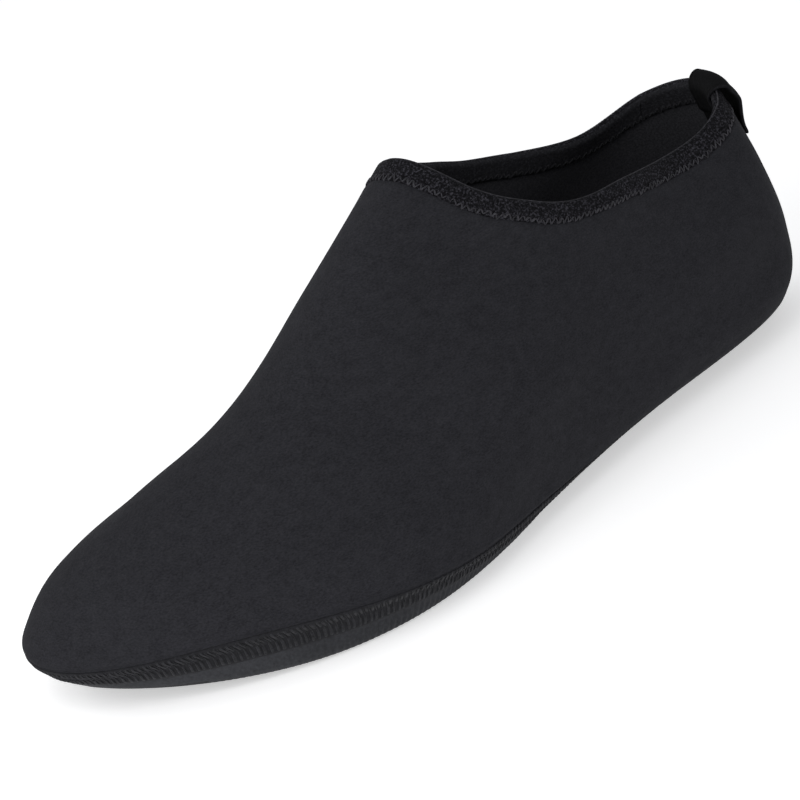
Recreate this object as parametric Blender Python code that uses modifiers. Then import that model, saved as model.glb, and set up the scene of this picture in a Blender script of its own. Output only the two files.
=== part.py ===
"""Slip-on water shoe for the left foot, standing empty on its sole.

A stretch upper of one hollow wall is sewn edge to edge to a thin cupped sole, with a
flat stitched band over the joint. A folded tape binds the collar, a short pull tab
straddles the binding at the heel, and an insole lies in the cup.

+X points to the toe, +Y to the wearer's left, +Z up. The last's own frame has the
heel at x = 0 and the floor at z = 0, and an empty moves it to the middle of the box.
"""
import math

import bpy
from mathutils import Vector

# Driving sizes in metres
SHOE_LENGTH = 0.262
BALL_WIDTH = 0.098
WAIST_WIDTH = 0.080
HEEL_WIDTH = 0.068
HEEL_END_WIDTH = 0.050
TOE_WIDTH = 0.060
COLLAR_WIDTH = 0.061
HEEL_HEIGHT = 0.0675
SIDE_HEIGHT = 0.0643
THROAT_HEIGHT = 0.0925
THROAT_SETBACK = 0.139
HEEL_CURVE = 0.0102
SEAM_HEIGHT = 0.0135
TREAD_INSET = 0.008
TOE_SWING = 0.014
TOE_SPRING = 0.0095
ARCH_RISE = 0.0015
HEEL_ROLL = 0.0015
ARCH_BITE = 0.003
BITE_FADE = 0.024
COLLAR_LEAN = 0.005
INNER_RISE = 0.0065

WALL = 0.0025
SOLE_THICKNESS = 0.002
INSOLE_THICKNESS = 0.002
SEAM_GAP = 0.0004
FIT_GAP = 0.0003

BINDING_DROP = 0.0056
BINDING_THICKNESS = 0.0007
BINDING_CREST = 0.0009
BAND_TOP = 0.002
BAND_THICKNESS = 0.0006
TAB_WIDTH = 0.0185
TAB_SHIFT = 0.0068
TAB_DROP = 0.015
TAB_THICKNESS = 0.0009
TAB_STANDS = 0.0021
TAB_BOW = 0.0012
TAB_SETTLE = 0.0016

# Share of the shoe's length where the sole lies flat on the floor
HEEL_FLAT = (0.07, 0.28)
BALL_FLAT = (0.58, 0.77)

# Share of the length where the inner side's bite at the waist starts, is full, and ends
BITE_STARTS = (0.25, 0.45)
BITE_ENDS = (0.50, 0.68)

# Faces: half the columns round the shoe, and rings of each piece
HALF_COLUMNS = 28
UPPER_RINGS = (0.0, 0.02, 0.04, 0.07, 0.11, 0.16, 0.23, 0.32, 0.42, 0.53, 0.64, 0.75, 0.85, 0.93, 1.0)
SOLE_RINGS = (0.2, 0.4, 0.6, 0.8, 1.0)
INSOLE_RINGS = (0.66, 0.82, 1.0)
TREAD_STEPS = 6

# Rows of the seam band: share of the sole's side under the seam, then share of BAND_TOP over it
BAND_FALLS = (0.38, 0.25, 0.12)
BAND_REACHES = (0.0, 0.5, 1.0)

# Arcs over the collar's edge, and columns across the pull tab
BINDING_ARC_STEPS = 4
TAB_ARC_STEPS = 6
TAB_COLUMNS = 9

# Exponent that makes the ends of the plan outline blunter than an ellipse
END_FULLNESS = 2.6

# Front line up the vamp. Level up the wall, set back from the toe as a share of
# THROAT_SETBACK, height as a share of the rise from the seam to the throat.
VAMP_LINE = (
    (0.00, 0.014, 0.000),
    (0.06, 0.004, 0.040),
    (0.16, 0.058, 0.178),
    (0.32, 0.220, 0.306),
    (0.60, 0.548, 0.496),
    (0.80, 0.752, 0.725),
    (1.00, 1.000, 1.000),
)

# Back line up the heel. Level, set in from the rearmost point as a share of HEEL_CURVE.
HEEL_LINE = ((0.00, 0.65), (0.12, 0.28), (0.32, 0.03), (0.65, 0.43), (1.00, 1.00))

# Seam between sole and upper. Share from heel to toe, height as a share of SEAM_HEIGHT.
SEAM_LINE = ((0.0, 0.24), (0.2, 0.26), (0.42, 0.35), (0.62, 0.53), (0.75, 0.81), (0.9, 1.03), (1.0, 0.94))

# Collar edge between the heel and the throat, where the two named heights end. Share
# from heel to throat, height as a share of SIDE_HEIGHT.
COLLAR_LINE = ((0.2, 0.945), (0.5, 1.0), (0.8, 1.12), (0.93, 1.28))

# Half widths up the wall: level, then a share of half the width named for each station
STATIONS = (0.07, 0.25, 0.5, 0.75, 0.93)
STATION_WIDTHS = (HEEL_END_WIDTH, HEEL_WIDTH, WAIST_WIDTH, BALL_WIDTH, TOE_WIDTH)
WIDTHS = (
    (0.00, 0.68, 0.72, 0.92, 0.97, 0.99),
    (0.04, 0.85, 0.84, 0.97, 1.00, 1.00),
    (0.12, 0.99, 0.95, 1.00, 1.00, 0.95),
    (0.35, 0.97, 1.00, 1.00, 0.90, 0.83),
    (0.65, 0.91, 1.00, 0.97, 0.83, 0.82),
)

# The same at the collar's edge, as shares of half the collar's width
COLLAR_WIDTHS = (0.48, 0.71, 0.98, 0.98, 0.56)

# The collar is higher on the inner side before the throat. Share from heel to throat, share
# of INNER_RISE.
RISE_LINE = ((0.42, 0.0), (0.55, 0.22), (0.65, 0.70), (0.75, 1.0), (0.86, 0.60), (1.0, 0.0))

# Centre line in plan. Share of the length, shift to the wearer's right as a share of TOE_SWING.
SWING_LINE = ((0.0, 0.0), (0.35, 0.0), (0.7, -0.12), (1.0, 1.0))

# Tread edge, in plan inside the seam. Share from heel to toe, share of TREAD_INSET.
INSET_LINE = ((0.0, 0.6), (0.1, 0.75), (0.24, 1.0), (0.5, 0.8), (0.75, 1.05), (1.0, 0.9))

# Handle length of the sole's side curve, as a share of its chord
SIDE_HANDLE = 0.45

# Steps for slopes and lengths taken by differences: in turn, and in level up the wall
NUDGE = 1e-4
TURN_STEP = 0.1
SLOPE_STEP = 0.02
PACE_STEP = 0.05


def cubic(knots, values, at):
    """Smooth line through a short table, held at its ends."""
    at = min(max(at, knots[0]), knots[-1])
    spans = [b - a for a, b in zip(knots, knots[1:])]
    rises = [(b - a) / span for a, b, span in zip(values, values[1:], spans)]
    slopes = [0.0] * len(knots)
    for i in range(1, len(knots) - 1):
        before, after = spans[i - 1], spans[i]
        slopes[i] = (rises[i - 1] * after + rises[i] * before) / (before + after)
    slopes[0] = 1.5 * rises[0] - 0.5 * slopes[1]
    slopes[-1] = 1.5 * rises[-1] - 0.5 * slopes[-2]
    i = max(k for k in range(len(spans)) if knots[k] <= at)
    t = (at - knots[i]) / spans[i]
    start = values[i] * (2 * t**3 - 3 * t**2 + 1) + slopes[i] * spans[i] * (t**3 - 2 * t**2 + t)
    end = values[i + 1] * (3 * t**2 - 2 * t**3) + slopes[i + 1] * spans[i] * (t**3 - t**2)
    return start + end


def along(table, at, column=1):
    return cubic([row[0] for row in table], [row[column] for row in table], at)


def mix(a, b, share):
    return a + (b - a) * share


def ease(share):
    """Rises from 0 to 1 and is flat at both ends."""
    share = min(max(share, 0.0), 1.0)
    return share * share * (3 - 2 * share)


def fullness(share):
    """Plan outline of a ring: 0 at its two ends, 1 at its middle."""
    return math.sqrt(max(0.0, 1 - abs(2 * share - 1) ** END_FULLNESS))


def seam_height(share):
    return SEAM_HEIGHT * along(SEAM_LINE, share)


def collar_height(share):
    knots = [0.0] + [row[0] for row in COLLAR_LINE] + [1.0]
    heights = [HEEL_HEIGHT] + [SIDE_HEIGHT * row[1] for row in COLLAR_LINE] + [THROAT_HEIGHT]
    return cubic(knots, heights, share)


def half_width(share, level):
    """Half the shoe's width at a share from heel to front and a level up the wall."""
    levels = [row[0] for row in WIDTHS] + [1.0]
    columns = []
    for i, station in enumerate(STATIONS):
        sizes = [row[i + 1] * STATION_WIDTHS[i] / 2 for row in WIDTHS]
        sizes.append(COLLAR_WIDTHS[i] * COLLAR_WIDTH / 2)
        columns.append(cubic(levels, sizes, level) / fullness(station))
    return cubic(STATIONS, columns, share) * fullness(share)


def centre_line(x):
    return -TOE_SWING * along(SWING_LINE, x / SHOE_LENGTH)


def arch_bite(x, level):
    """How much slimmer the inner side is at the waist, low on the wall."""
    share = x / SHOE_LENGTH
    start = ease((share - BITE_STARTS[0]) / (BITE_STARTS[1] - BITE_STARTS[0]))
    end = ease((BITE_ENDS[1] - share) / (BITE_ENDS[1] - BITE_ENDS[0]))
    return ARCH_BITE * start * end * (1 - level) ** 2


def half_section(share, level):
    """Station, half width and height of the upper's outer face, before left and right differ."""
    back_x = HEEL_CURVE * along(HEEL_LINE, level)
    front_x = SHOE_LENGTH - THROAT_SETBACK * along(VAMP_LINE, level)
    x = mix(back_x, front_x, share)

    back_z = mix(seam_height(0), HEEL_HEIGHT, level)
    front_z = mix(seam_height(1), THROAT_HEIGHT, along(VAMP_LINE, level, 2))
    seam_bow = seam_height(share) - mix(seam_height(0), seam_height(1), share)
    collar_bow = collar_height(share) - mix(HEEL_HEIGHT, THROAT_HEIGHT, share)
    z = mix(back_z, front_z, share) + mix(seam_bow, collar_bow, level)
    return x, half_width(share, level), z


def place(x, half, z, turn, level):
    """Point on the left (turn above 0) or right side, with the foot's left and right curve."""
    share = (1 - math.cos(turn)) / 2
    lean = COLLAR_LEAN * 4 * share * (1 - share) * level**2
    side = 1 if math.sin(turn) >= 0 else -1
    if side < 0:
        half -= arch_bite(x, level) * min(1.0, half / BITE_FADE)
        z += INNER_RISE * along(RISE_LINE, share) * level**2
    return Vector((x, side * half + centre_line(x) - lean, z))


def skin(turn, level):
    """Outer face of the upper. Turn goes from 0 at the heel to pi at the toe, minus on the right."""
    share = (1 - math.cos(turn)) / 2
    x, half, z = half_section(share, level)
    return place(x, half, z, turn, level)


def tread_height(x):
    """Height of the sole's under face: flat at heel and ball, raised at arch and toe."""
    share = x / SHOE_LENGTH
    roll = max(0.0, 1 - share / HEEL_FLAT[0])
    spring = max(0.0, (share - BALL_FLAT[1]) / (1 - BALL_FLAT[1]))
    arch = min(max((share - HEEL_FLAT[1]) / (BALL_FLAT[0] - HEEL_FLAT[1]), 0.0), 1.0)
    return HEEL_ROLL * roll**2 + TOE_SPRING * spring**2 + ARCH_RISE * math.sin(math.pi * arch) ** 2


def side_handles(turn):
    """The four control points of the sole's side curve, from the seam to the tread edge."""
    turn = abs(turn)
    share = (1 - math.cos(turn)) / 2
    seam = Vector(half_section(share, 0.0))
    climb = (Vector(half_section(share, SLOPE_STEP)) - seam).normalized()

    before = half_section((1 - math.cos(turn - NUDGE)) / 2, 0.0)
    after = half_section((1 - math.cos(turn + NUDGE)) / 2, 0.0)
    width_step = after[1] - before[1]
    if turn < NUDGE or turn > math.pi - NUDGE:
        outward = Vector((-1 if turn < 1 else 1, 0, 0))
    else:
        outward = Vector((-width_step, after[0] - before[0], 0)).normalized()

    edge = seam - outward * TREAD_INSET * along(INSET_LINE, share)
    edge.z = tread_height(edge.x)
    if turn < NUDGE or turn > math.pi - NUDGE:
        edge.y = 0.0
    handle = SIDE_HANDLE * (edge - seam).length
    return seam, seam - climb * handle, edge + outward * handle, edge


def sole_side(turn, fall):
    """Outer face of the sole's side. Fall goes from 0 at the seam to 1 at the tread edge."""
    seam, low, wide, edge = side_handles(turn)
    rest = 1 - fall
    point = seam * rest**3 + low * 3 * rest**2 * fall + wide * 3 * rest * fall**2 + edge * fall**3
    return place(point.x, point.y, point.z, turn, 0.0)


def seam_fall(turn, distance):
    """Fall that lies a short distance under the seam."""
    seam, low = side_handles(turn)[:2]
    return distance / (3 * (low - seam).length)


def wall(turn, level, offset):
    """Point off the upper's outer face by an offset along its normal, and the way up the wall."""
    low, high = max(level - SLOPE_STEP / 2, 0.0), min(level + SLOPE_STEP / 2, 1.0)
    climb = skin(turn, high) - skin(turn, low)
    sweep = skin(turn + NUDGE, level) - skin(turn - NUDGE, level)
    normal = climb.cross(sweep).normalized()
    return skin(turn, level) + normal * offset, climb.normalized()


def collar_level(turn, drop):
    """Level that lies a distance under the collar's edge."""
    pace = (skin(turn, 1.0) - skin(turn, 1.0 - PACE_STEP)).length / PACE_STEP
    return 1.0 - max(drop, 0.0) / pace


def on_collar(turn, drop, offset):
    """Point a distance down the wall from the collar's edge (or above it), off its outer face."""
    point, climb = wall(turn, collar_level(turn, drop), offset)
    return point + climb * max(-drop, 0.0)


def turns():
    """Columns round a ring, from the heel over the left side and the toe."""
    count = 2 * HALF_COLUMNS
    return [math.pi * (k if k <= HALF_COLUMNS else k - count) / HALF_COLUMNS for k in range(count)]


def material(name, colour, roughness):
    found = bpy.data.materials.new(name)
    found.use_nodes = True
    shader = found.node_tree.nodes["Principled BSDF"]
    shader.inputs["Base Color"].default_value = (*colour, 1.0)
    shader.inputs["Roughness"].default_value = roughness
    return found


def add_piece(name, points, faces, finish):
    mesh = bpy.data.meshes.new(name)
    mesh.from_pydata(points, [], faces)
    mesh.validate()
    mesh.materials.append(finish)
    mesh.shade_smooth()
    piece = bpy.data.objects.new(name, mesh)
    shoe.objects.link(piece)
    piece.parent = last_frame
    return piece


def thicken(piece, thickness, offset):
    """Gives an open surface its thickness, inwards (-1) or outwards (1)."""
    shell = piece.modifiers.new("Thickness", "SOLIDIFY")
    shell.thickness = thickness
    shell.offset = offset
    shell.use_even_offset = True
    shell.use_quality_normals = True


def lift(piece, distance):
    """Moves a surface along its normals, to lie off what it covers."""
    shift = piece.modifiers.new("Lift", "DISPLACE")
    shift.mid_level = 0.0
    shift.strength = distance


def band_faces(rings, columns, closed=True):
    """Quads between rings of points that are listed one ring after another."""
    faces = []
    for ring in range(rings - 1):
        for k in range(columns if closed else columns - 1):
            here, beside = ring * columns + k, ring * columns + (k + 1) % columns
            faces.append((here, beside, beside + columns, here + columns))
    return faces


def flip(faces):
    return [tuple(reversed(face)) for face in faces]


def tread_rows(points, first, count):
    """Rows across the tread between its left and right edge, added to the points."""
    rows = [[first] * (TREAD_STEPS + 1)]
    for k in range(1, HALF_COLUMNS):
        left, right = points[first + k], points[first + count - k]
        row = [first + k]
        for step in range(1, TREAD_STEPS):
            row.append(len(points))
            points.append(left.lerp(right, step / TREAD_STEPS))
        rows.append(row + [first + count - k])
    return rows + [[first + HALF_COLUMNS] * (TREAD_STEPS + 1)]


def cup_surface(rings, seam_gap=None):
    """Side rings of the sole and the tread that closes them, as points and faces."""
    columns = turns()
    count = len(columns)
    points = []
    if seam_gap is not None:
        points += [sole_side(turn, seam_fall(turn, seam_gap)) for turn in columns]
    for fall in rings:
        points += [sole_side(turn, fall) for turn in columns]
    faces = band_faces(len(points) // count, count)

    rows = tread_rows(points, len(points) - count, count)
    for row, following in zip(rows, rows[1:]):
        for step in range(TREAD_STEPS):
            corners = (row[step], following[step], following[step + 1], row[step + 1])
            faces.append(tuple(dict.fromkeys(corners)))
    return points, faces


def make_upper(finish):
    points = [skin(turn, level) for level in UPPER_RINGS for turn in turns()]
    piece = add_piece("upper", points, flip(band_faces(len(UPPER_RINGS), len(turns()))), finish)
    thicken(piece, WALL, -1)


def make_outsole(finish):
    piece = add_piece("outsole", *cup_surface(SOLE_RINGS, SEAM_GAP), finish)
    thicken(piece, SOLE_THICKNESS, -1)


def make_insole(finish):
    piece = add_piece("insole", *cup_surface(INSOLE_RINGS), finish)
    lift(piece, -SOLE_THICKNESS - FIT_GAP)
    thicken(piece, INSOLE_THICKNESS, -1)


def make_seam_band(finish):
    """Flat stitched band that covers the joint of sole and upper from outside."""
    columns = turns()
    points = [sole_side(turn, fall) for fall in BAND_FALLS for turn in columns]
    for reach in BAND_REACHES:
        for turn in columns:
            pace = (skin(turn, PACE_STEP) - skin(turn, 0.0)).length / PACE_STEP
            points.append(skin(turn, BAND_TOP * reach / pace))
    rows = len(BAND_FALLS) + len(BAND_REACHES)
    piece = add_piece("seam_band", points, flip(band_faces(rows, len(columns))), finish)
    lift(piece, FIT_GAP)
    thicken(piece, BAND_THICKNESS, 1)


def fold(outer, crest, steps):
    """Path over the collar's edge, the same on both sides, as (drop, offset) from outside in.

    Outer lists the outside's points from the foot up; the arc over the edge follows.
    """
    reach = WALL / 2 + outer[-1][1]
    path = list(outer)
    for k in range(steps + 1):
        angle = math.pi * k / steps
        path.append((-crest * math.sin(angle), reach * math.cos(angle) - WALL / 2))
    return path + [(drop, -WALL - offset) for drop, offset in reversed(outer)]


def make_binding(finish):
    outer = [(BINDING_DROP, FIT_GAP), (BINDING_DROP / 2, FIT_GAP)]
    path = fold(outer, BINDING_CREST, BINDING_ARC_STEPS)
    columns = turns()
    points = [on_collar(turn, drop, offset) for drop, offset in path for turn in columns]
    piece = add_piece("collar_binding", points, flip(band_faces(len(path), len(columns))), finish)
    thicken(piece, BINDING_THICKNESS, 1)


def tab_path():
    """Path of the tab's inner face: up the outside, over the binding and down the inside."""
    clear = 2 * FIT_GAP + BINDING_THICKNESS
    below = BINDING_DROP + BINDING_THICKNESS
    outer = [(TAB_DROP, FIT_GAP), ((below + TAB_DROP) / 2, FIT_GAP)]
    outer += [(below + TAB_SETTLE, FIT_GAP), (below, clear), (below / 2, clear + TAB_BOW)]
    return fold(outer, BINDING_CREST + BINDING_THICKNESS + TAB_STANDS, TAB_ARC_STEPS)


def make_tab(finish):
    path = tab_path()
    points = []
    for drop, offset in path:
        level = collar_level(0.0, drop)
        pace = (skin(TURN_STEP, level) - skin(0.0, level)).length / TURN_STEP
        for k in range(TAB_COLUMNS):
            across = TAB_SHIFT + TAB_WIDTH * (k / (TAB_COLUMNS - 1) - 0.5)
            points.append(on_collar(across / pace, drop, offset))
    faces = flip(band_faces(len(path), TAB_COLUMNS, closed=False))
    piece = add_piece("heel_pull_tab", points, faces, finish)
    thicken(piece, TAB_THICKNESS, 1)


def centre_frame():
    """Moves the last's frame so that the origin is under the middle of the shoe's box."""
    bpy.context.view_layer.update()
    graph = bpy.context.evaluated_depsgraph_get()
    corners = []
    for piece in shoe.objects:
        if piece.type == "MESH":
            solid = piece.evaluated_get(graph).to_mesh()
            corners += [vertex.co.copy() for vertex in solid.vertices]
    low = [min(corner[i] for corner in corners) for i in range(3)]
    high = [max(corner[i] for corner in corners) for i in range(3)]
    last_frame.location = (-(low[0] + high[0]) / 2, -(low[1] + high[1]) / 2, -low[2])


for leftover in list(bpy.data.objects):
    bpy.data.objects.remove(leftover, do_unlink=True)

shoe = bpy.data.collections.new("water_shoe")
bpy.context.scene.collection.children.link(shoe)
last_frame = bpy.data.objects.new("last_frame", None)
shoe.objects.link(last_frame)

make_upper(material("jersey_faced_neoprene", (0.014, 0.014, 0.017), 0.85))
make_outsole(material("ribbed_rubber", (0.020, 0.020, 0.023), 0.7))
make_insole(material("insole_cloth", (0.010, 0.010, 0.012), 0.9))
make_seam_band(material("flatlock_thread", (0.018, 0.018, 0.022), 0.75))
make_binding(material("binding_tape", (0.016, 0.016, 0.020), 0.8))
make_tab(material("tab_tape", (0.008, 0.008, 0.010), 0.65))
centre_frame()
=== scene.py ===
"""Looks of a left water shoe: jersey upper, knitted binding, flat stitched seam, ribbed sole.

The shoe's form comes from the same named sizes and tables as its solids, but for a wider
heel end of the collar and a narrower, more bowed pull tab. Points are worked out in the
last's own frame (heel at x = 0, floor at z = 0) and moved to the row frame by the place of
the upper's solid.
"""
import math

import bpy
import numpy as np
from mathutils import Matrix, Vector


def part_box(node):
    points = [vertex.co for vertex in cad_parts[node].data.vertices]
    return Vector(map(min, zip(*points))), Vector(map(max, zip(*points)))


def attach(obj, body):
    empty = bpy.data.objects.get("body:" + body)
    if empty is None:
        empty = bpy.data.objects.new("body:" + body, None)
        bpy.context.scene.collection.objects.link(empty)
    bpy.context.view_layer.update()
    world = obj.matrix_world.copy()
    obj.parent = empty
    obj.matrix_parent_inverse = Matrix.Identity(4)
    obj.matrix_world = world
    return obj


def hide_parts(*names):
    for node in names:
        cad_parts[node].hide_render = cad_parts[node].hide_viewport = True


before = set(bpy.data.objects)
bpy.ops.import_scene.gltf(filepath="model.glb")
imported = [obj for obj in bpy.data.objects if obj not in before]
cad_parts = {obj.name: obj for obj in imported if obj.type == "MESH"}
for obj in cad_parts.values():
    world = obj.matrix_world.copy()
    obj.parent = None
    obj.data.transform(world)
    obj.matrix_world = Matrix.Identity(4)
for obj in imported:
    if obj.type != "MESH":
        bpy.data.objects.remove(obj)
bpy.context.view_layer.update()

# Sizes of the form, in metres
SHOE_LENGTH = 0.262
BALL_WIDTH = 0.098
WAIST_WIDTH = 0.080
HEEL_WIDTH = 0.068
HEEL_END_WIDTH = 0.050
TOE_WIDTH = 0.060
COLLAR_WIDTH = 0.061
HEEL_HEIGHT = 0.0675
SIDE_HEIGHT = 0.0643
THROAT_HEIGHT = 0.0925
THROAT_SETBACK = 0.139
HEEL_CURVE = 0.0102
SEAM_HEIGHT = 0.0135
TREAD_INSET = 0.008
TOE_SWING = 0.014
TOE_SPRING = 0.0095
ARCH_RISE = 0.0015
HEEL_ROLL = 0.0015
ARCH_BITE = 0.003
BITE_FADE = 0.024
COLLAR_LEAN = 0.005
INNER_RISE = 0.0065

WALL = 0.0025
SOLE_THICKNESS = 0.002
INSOLE_THICKNESS = 0.002
SEAM_GAP = 0.0004
FIT_GAP = 0.0003

# Binding over the collar's edge, and band over the sole's seam. The band's fall is a share of
# the sole's side
BINDING_DROP = 0.0056
BINDING_THICKNESS = 0.0007
BINDING_CREST = 0.0009
BINDING_SELVEDGE = 0.0001
BINDING_LIP = (0.2, 0.75)
BINDING_LIP_SPAN = 0.05
BINDING_LIP_RELIEF = 0.3
BAND_TOP = 0.002
BAND_FALL = 0.38

# Pull tab over the binding. Its lean is the share by which its crest sinks at the far edge
TAB_WIDTH = 0.0140
TAB_SHIFT = 0.0060
TAB_DROP = 0.015
TAB_THICKNESS = 0.0009
TAB_STANDS = 0.0012
TAB_BOW = 0.0036
TAB_CREST_BOW = 0.0020
TAB_BOW_SPAN = 0.005
TAB_SETTLE = 0.0018
TAB_LEAN = 0.38
TAB_GAP = 0.0001
TAB_FREE = 0.92
TAB_INNER_WALL = 0.9
TAB_EDGE_START = 0.93
TAB_EDGE_THINNING = 0.35

# Shares of the length: the tread's flats, and the waist's bite on the inner side
HEEL_FLAT = (0.07, 0.28)
BALL_FLAT = (0.58, 0.77)
BITE_STARTS = (0.25, 0.45)
BITE_ENDS = (0.50, 0.68)

# Roundness of heel and toe as seen from above, and of the sole's side
END_FULLNESS = 2.6
SIDE_HANDLE = 0.45

# Level up the wall, share of THROAT_SETBACK back from the toe, share of the front's rise
VAMP_LINE = (
    (0.00, 0.014, 0.000),
    (0.06, 0.004, 0.040),
    (0.16, 0.058, 0.178),
    (0.32, 0.220, 0.306),
    (0.60, 0.548, 0.496),
    (0.80, 0.752, 0.725),
    (1.00, 1.000, 1.000),
)

# Level up the wall, share of HEEL_CURVE in from the rearmost point
HEEL_LINE = ((0.00, 0.65), (0.12, 0.28), (0.32, 0.03), (0.65, 0.43), (1.00, 1.00))

# Share from heel to toe, share of SEAM_HEIGHT
SEAM_LINE = (
    (0.00, 0.24),
    (0.20, 0.26),
    (0.42, 0.35),
    (0.62, 0.53),
    (0.75, 0.81),
    (0.90, 1.03),
    (1.00, 0.94),
)

# Share from heel to throat, share of SIDE_HEIGHT
COLLAR_LINE = ((0.2, 0.945), (0.5, 1.0), (0.8, 1.12), (0.93, 1.28))

# Shares from heel to toe at which the widths are named
STATIONS = (0.07, 0.25, 0.5, 0.75, 0.93)
STATION_WIDTHS = (HEEL_END_WIDTH, HEEL_WIDTH, WAIST_WIDTH, BALL_WIDTH, TOE_WIDTH)

# Level, then shares of each station's width
WIDTHS = (
    (0.00, 0.68, 0.72, 0.92, 0.97, 0.99),
    (0.04, 0.85, 0.84, 0.97, 1.00, 1.00),
    (0.12, 0.99, 0.95, 1.00, 1.00, 0.95),
    (0.35, 0.97, 1.00, 1.00, 0.90, 0.83),
    (0.65, 0.91, 1.00, 0.97, 0.83, 0.82),
)

# Shares of COLLAR_WIDTH at the stations
COLLAR_WIDTHS = (0.54, 0.71, 0.98, 0.98, 0.56)

# The collar's rise on the inner side: share from heel to throat, share of INNER_RISE
RISE_LINE = ((0.42, 0.0), (0.55, 0.22), (0.65, 0.70), (0.75, 1.0), (0.86, 0.60), (1.0, 0.0))

# Share of the length, share of TOE_SWING to the wearer's right
SWING_LINE = ((0.0, 0.0), (0.35, 0.0), (0.7, -0.12), (1.0, 1.0))

# Share from heel to toe, share of TREAD_INSET
INSET_LINE = ((0.0, 0.6), (0.1, 0.75), (0.24, 1.0), (0.5, 0.8), (0.75, 1.05), (1.0, 0.9))

# Ridge and furrow along the tab's selvedge: share of its half width, half width, height
SELVEDGE_RIDGE = (0.93, 0.05, 0.00012)
SELVEDGE_FURROW = (0.84, 0.035, 0.00015)

# Steps for slopes taken by differences: turn in radians, the others as shares of a level
NUDGE = 1e-4
TURN_STEP = 0.1
SLOPE_STEP = 0.02
PACE_STEP = 0.05
BAND_STEP = 0.04

# Groove and welt of the jersey over the sole's seam: distance up, half width, height
GROOVE = (0.0025, 0.00026, -0.0002)
WELT = (0.0037, 0.0009, 0.0002)

# The jersey's pinch under the binding, its unevenness and the pucker below the zigzag
PINCH_DEPTH = 0.0010
PINCH_START = 0.0012
PINCH_REACH = 0.0017
UNEVENNESS = 0.0001
UNEVENNESS_SPREAD = 0.011
CREASE_FADE = 0.007
PUCKER_PITCH = 0.0042
PUCKER_DEPTH = 0.00007
PUCKER_DROP = 0.0018
PUCKER_REACH = 0.0022
PUCKER_WANDER = 2.2
PUCKER_WANDER_RATE = 90

# Threads: pitches and spans down the wall, lift over their ground, half widths and heights
THREAD_SIDES = 6
THREAD_END = 0.35
THREAD_ARCH = 0.6
ZIGZAG_PITCH = 0.0019
ZIGZAG_TOP = 0.0040
ZIGZAG_FOOT = 0.0057
ZIGZAG_SHIFTS = 0.3
ZIGZAG_STRAYS = (-0.0005, 0.0004)
ZIGZAG_WIDTHS = (0.00014, 0.00030)
ZIGZAG_HEIGHT = 0.00016
ZIGZAG_LIFT = 0.00022
ZIGZAG_SINK = 0.00014
RIM_LINE_RADIUS = 0.00022
RIM_LINE_DROP = 0.94
RIM_LINE_SHIFT = 0.0007
BAND_FOOT = 0.00005
BAND_FACE = 0.00035
LADDER_PITCH = 0.0016
LADDER_LIFT = 0.00018
LADDER_SHIFTS = 0.12
LADDER_STRAYS = 0.11
LADDER_WIDTHS = (0.7, 1.1)

# Rows of the seam's ladder: shift and lean in pitches, foot, share of the rung's top and
# place added to it, half width and height
LADDER_ROWS = (
    (0.0, 0.06, -0.42, 1.00, 0.00, 0.00044, 0.00017),
    (0.5, -0.06, -0.97, 0.00, -0.32, 0.00040, 0.00016),
    (0.3, 0.22, -0.95, 0.96, 0.00, 0.00013, 0.00024),
)

# Where the upper rungs of the ladder begin: share from heel to toe, share of BAND_TOP
RUNG_TOPS = (
    (0.00, 0.95),
    (0.72, 0.95),
    (0.80, 0.80),
    (0.86, 0.75),
    (0.93, 0.80),
    (0.97, 0.85),
    (1.00, 0.80),
)

# Ribs of the sole: pitch, depth up its side, depth under it against that, and their fades
RIB_PITCH = 0.0019
RIB_DEPTH = 0.00036
TREAD_RIB_DEPTH = 1.4
RIB_START_FADE = 0.1
RIB_END = 0.95
RIB_END_FADE = 0.3
RIB_TOE = 0.94
RIB_TOE_FADE = 0.08

# Rows of the sole's side under the toe painted dark as contact shadow: most rows, where they start
# and grow full
TOE_SHADOW_ROWS = 4
TOE_SHADOW_START = 0.80
TOE_SHADOW_SPAN = 0.14

# Relief of the knitted binding: pitches round the collar and across the tape, and depth
KNIT_WALE = 0.0010
KNIT_COURSE = 0.0008
KNIT_DEPTH = 0.00008
KNIT_SLANT = 2.4
KNIT_WALE_SHARE = 0.6
KNIT_COURSE_SHARE = 0.4

# Share of the way over the collar's edge at which the binding turns to its inner tones, which paint
# the light and shade inside the collar
INNER_PAINTED_LIGHT_START = 0.75

# Fineness of the meshes
UPPER_COLUMNS = 360
UPPER_LEVELS = ((0.0, 0.1, 41), (0.1, 0.9, 60), (0.9, 1.0, 19))
BINDING_COLUMNS = 840
BINDING_STEPS = 20
BINDING_INNER_STEPS = 7
RIM_COLUMNS = 420
BAND_COLUMNS = 420
OUTSOLE_COLUMNS = 640
OUTSOLE_FALLS = (0.08, 1.0, 13)
OUTSOLE_STEPS = 22
INSOLE_COLUMNS = 120
INSOLE_FALLS = (0.66, 1.0, 6)
INSOLE_STEPS = 16
TAB_COLUMNS = 37
TAB_OUTER_STEPS = 26
TAB_CREST_STEPS = 17
TAB_INNER_STEPS = 9
TAB_SETTLE_STEPS = 6
TAB_FOOT_STEPS = 8
ZIGZAG_STEPS = 7
LADDER_STEPS = 9
CREASE_STEPS = 13
LENGTH_STEPS = 2881

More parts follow.
